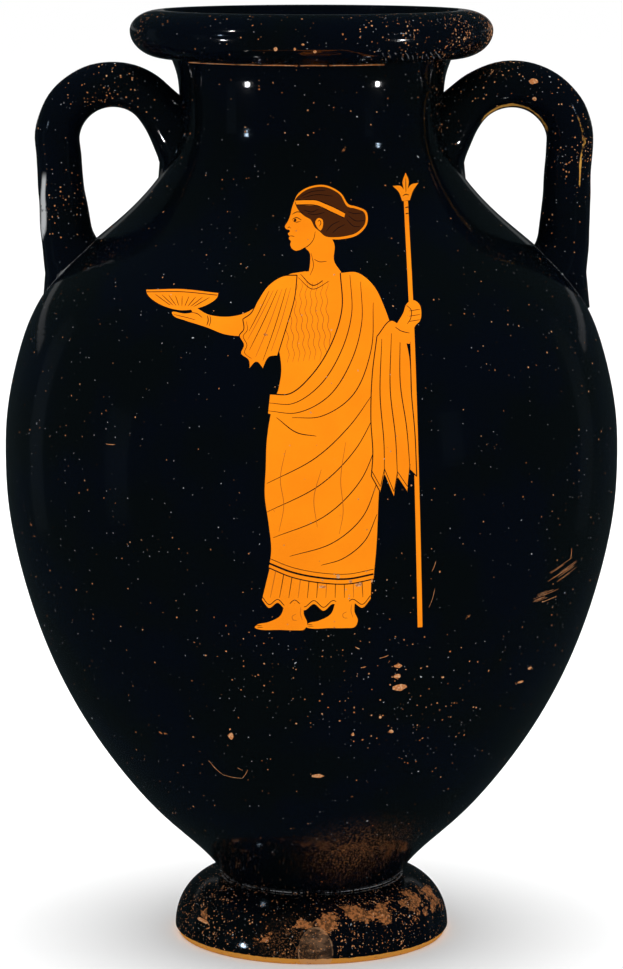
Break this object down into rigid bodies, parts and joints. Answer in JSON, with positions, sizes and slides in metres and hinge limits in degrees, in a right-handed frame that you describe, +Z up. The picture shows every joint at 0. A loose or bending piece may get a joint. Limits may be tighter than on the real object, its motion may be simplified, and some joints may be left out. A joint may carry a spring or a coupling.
{
  "type": "amphora",
  "caption": "Red-figure one-piece amphora: turned hollow body in one curve from neck to foot, rolled lip, low foot and two round upright handles.",
  "frame": {"origin": "centre of the ring that the foot stands on, on the axis of turning", "axes": "+Z up along the axis of turning, the two handles along X, the main painted side towards -Y"},
  "size_m": [0.2722, 0.2722, 0.415],
  "materials": {
    "black_gloss": "fired clay with a black glossy slip and orange reserved painting"
  },
  "bodies": {
    "root": {"amphora": "black_gloss"}
  },
  "joints": []
}
